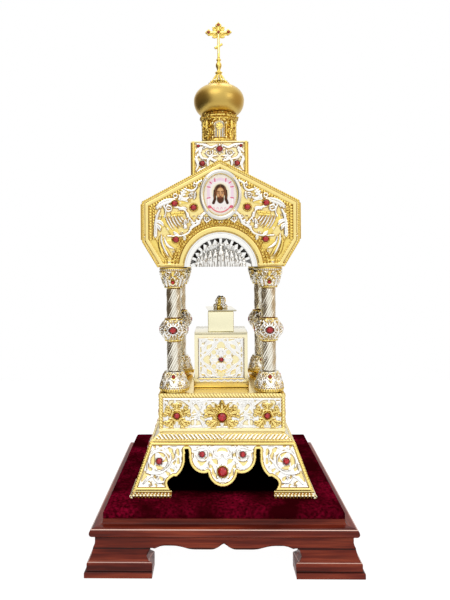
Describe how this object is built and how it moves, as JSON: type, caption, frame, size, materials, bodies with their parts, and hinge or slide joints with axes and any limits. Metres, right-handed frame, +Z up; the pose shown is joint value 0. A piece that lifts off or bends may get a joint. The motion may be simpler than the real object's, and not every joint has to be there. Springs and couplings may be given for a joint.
{
  "type": "altar tabernacle",
  "caption": "Gilt and silvered altar tabernacle: a gabled hood with a small dome and cross on columns, over a casket, on a splayed base and a velvet-topped wooden stand.",
  "frame": {"origin": "middle of the underside of the wooden stand's feet", "axes": "+Z up to the cross, -Y towards the front with its gable, +X to the right as seen from the front"},
  "size_m": [0.2734, 0.2734, 0.6],
  "materials": {
    "gold": "bright gilding over cast and stamped brass, polished ridges and stippled ground",
    "satin_gold": "satin gilding on the dome",
    "silver": "bright silver plate, darker in the hollows",
    "enamel": "painted enamel, glossy, pale ground with pink and brown figure",
    "mahogany": "reddish brown stained and varnished, half gloss",
    "velvet": "crimson velvet pile"
  },
  "bodies": {
    "root": {"stand_foot_front_left": "mahogany", "stand_foot_front_right": "mahogany", "stand_foot_back_left": "mahogany", "stand_foot_back_right": "mahogany", "stand_apron": "mahogany", "stand_board": "mahogany", "velvet_pad": "velvet", "base_skirt": "silver", "base_ledge": "gold", "pedestal_box": "gold", "pedestal_panel_front": "silver", "pedestal_panel_right": "silver", "pedestal_panel_back": "silver", "pedestal_panel_left": "silver", "column_base_front_left": "gold", "column_base_front_right": "gold", "column_base_back_left": "gold", "column_base_back_right": "gold", "column_shaft_lower_front_left": "silver", "column_shaft_lower_front_right": "silver", "column_shaft_lower_back_left": "silver", "column_shaft_lower_back_right": "silver", "column_knot_front_left": "gold", "column_knot_front_right": "gold", "column_knot_back_left": "gold", "column_knot_back_right": "gold", "column_shaft_upper_front_left": "silver", "column_shaft_upper_front_right": "silver", "column_shaft_upper_back_left": "silver", "column_shaft_upper_back_right": "silver", "column_capital_front_left": "gold", "column_capital_front_right": "gold", "column_capital_back_left": "gold", "column_capital_back_right": "gold", "casket_plinth": "gold", "casket_body": "silver", "casket_lid": "gold", "casket_upper_box": "gold", "casket_upper_lid": "gold", "casket_finial": "silver", "canopy_shell": "gold", "canopy_panel_front": "gold", "canopy_panel_back": "gold", "canopy_panel_left": "gold", "canopy_panel_right": "gold", "canopy_lunette_front": "silver", "canopy_lunette_back": "silver", "medallion_frame_front": "silver", "medallion_frame_back": "silver", "medallion_enamel_front": "enamel", "medallion_enamel_back": "enamel", "top_box": "gold", "drum": "gold", "dome": "satin_gold", "dome_finial": "gold", "cross": "gold"}
  },
  "joints": []
}
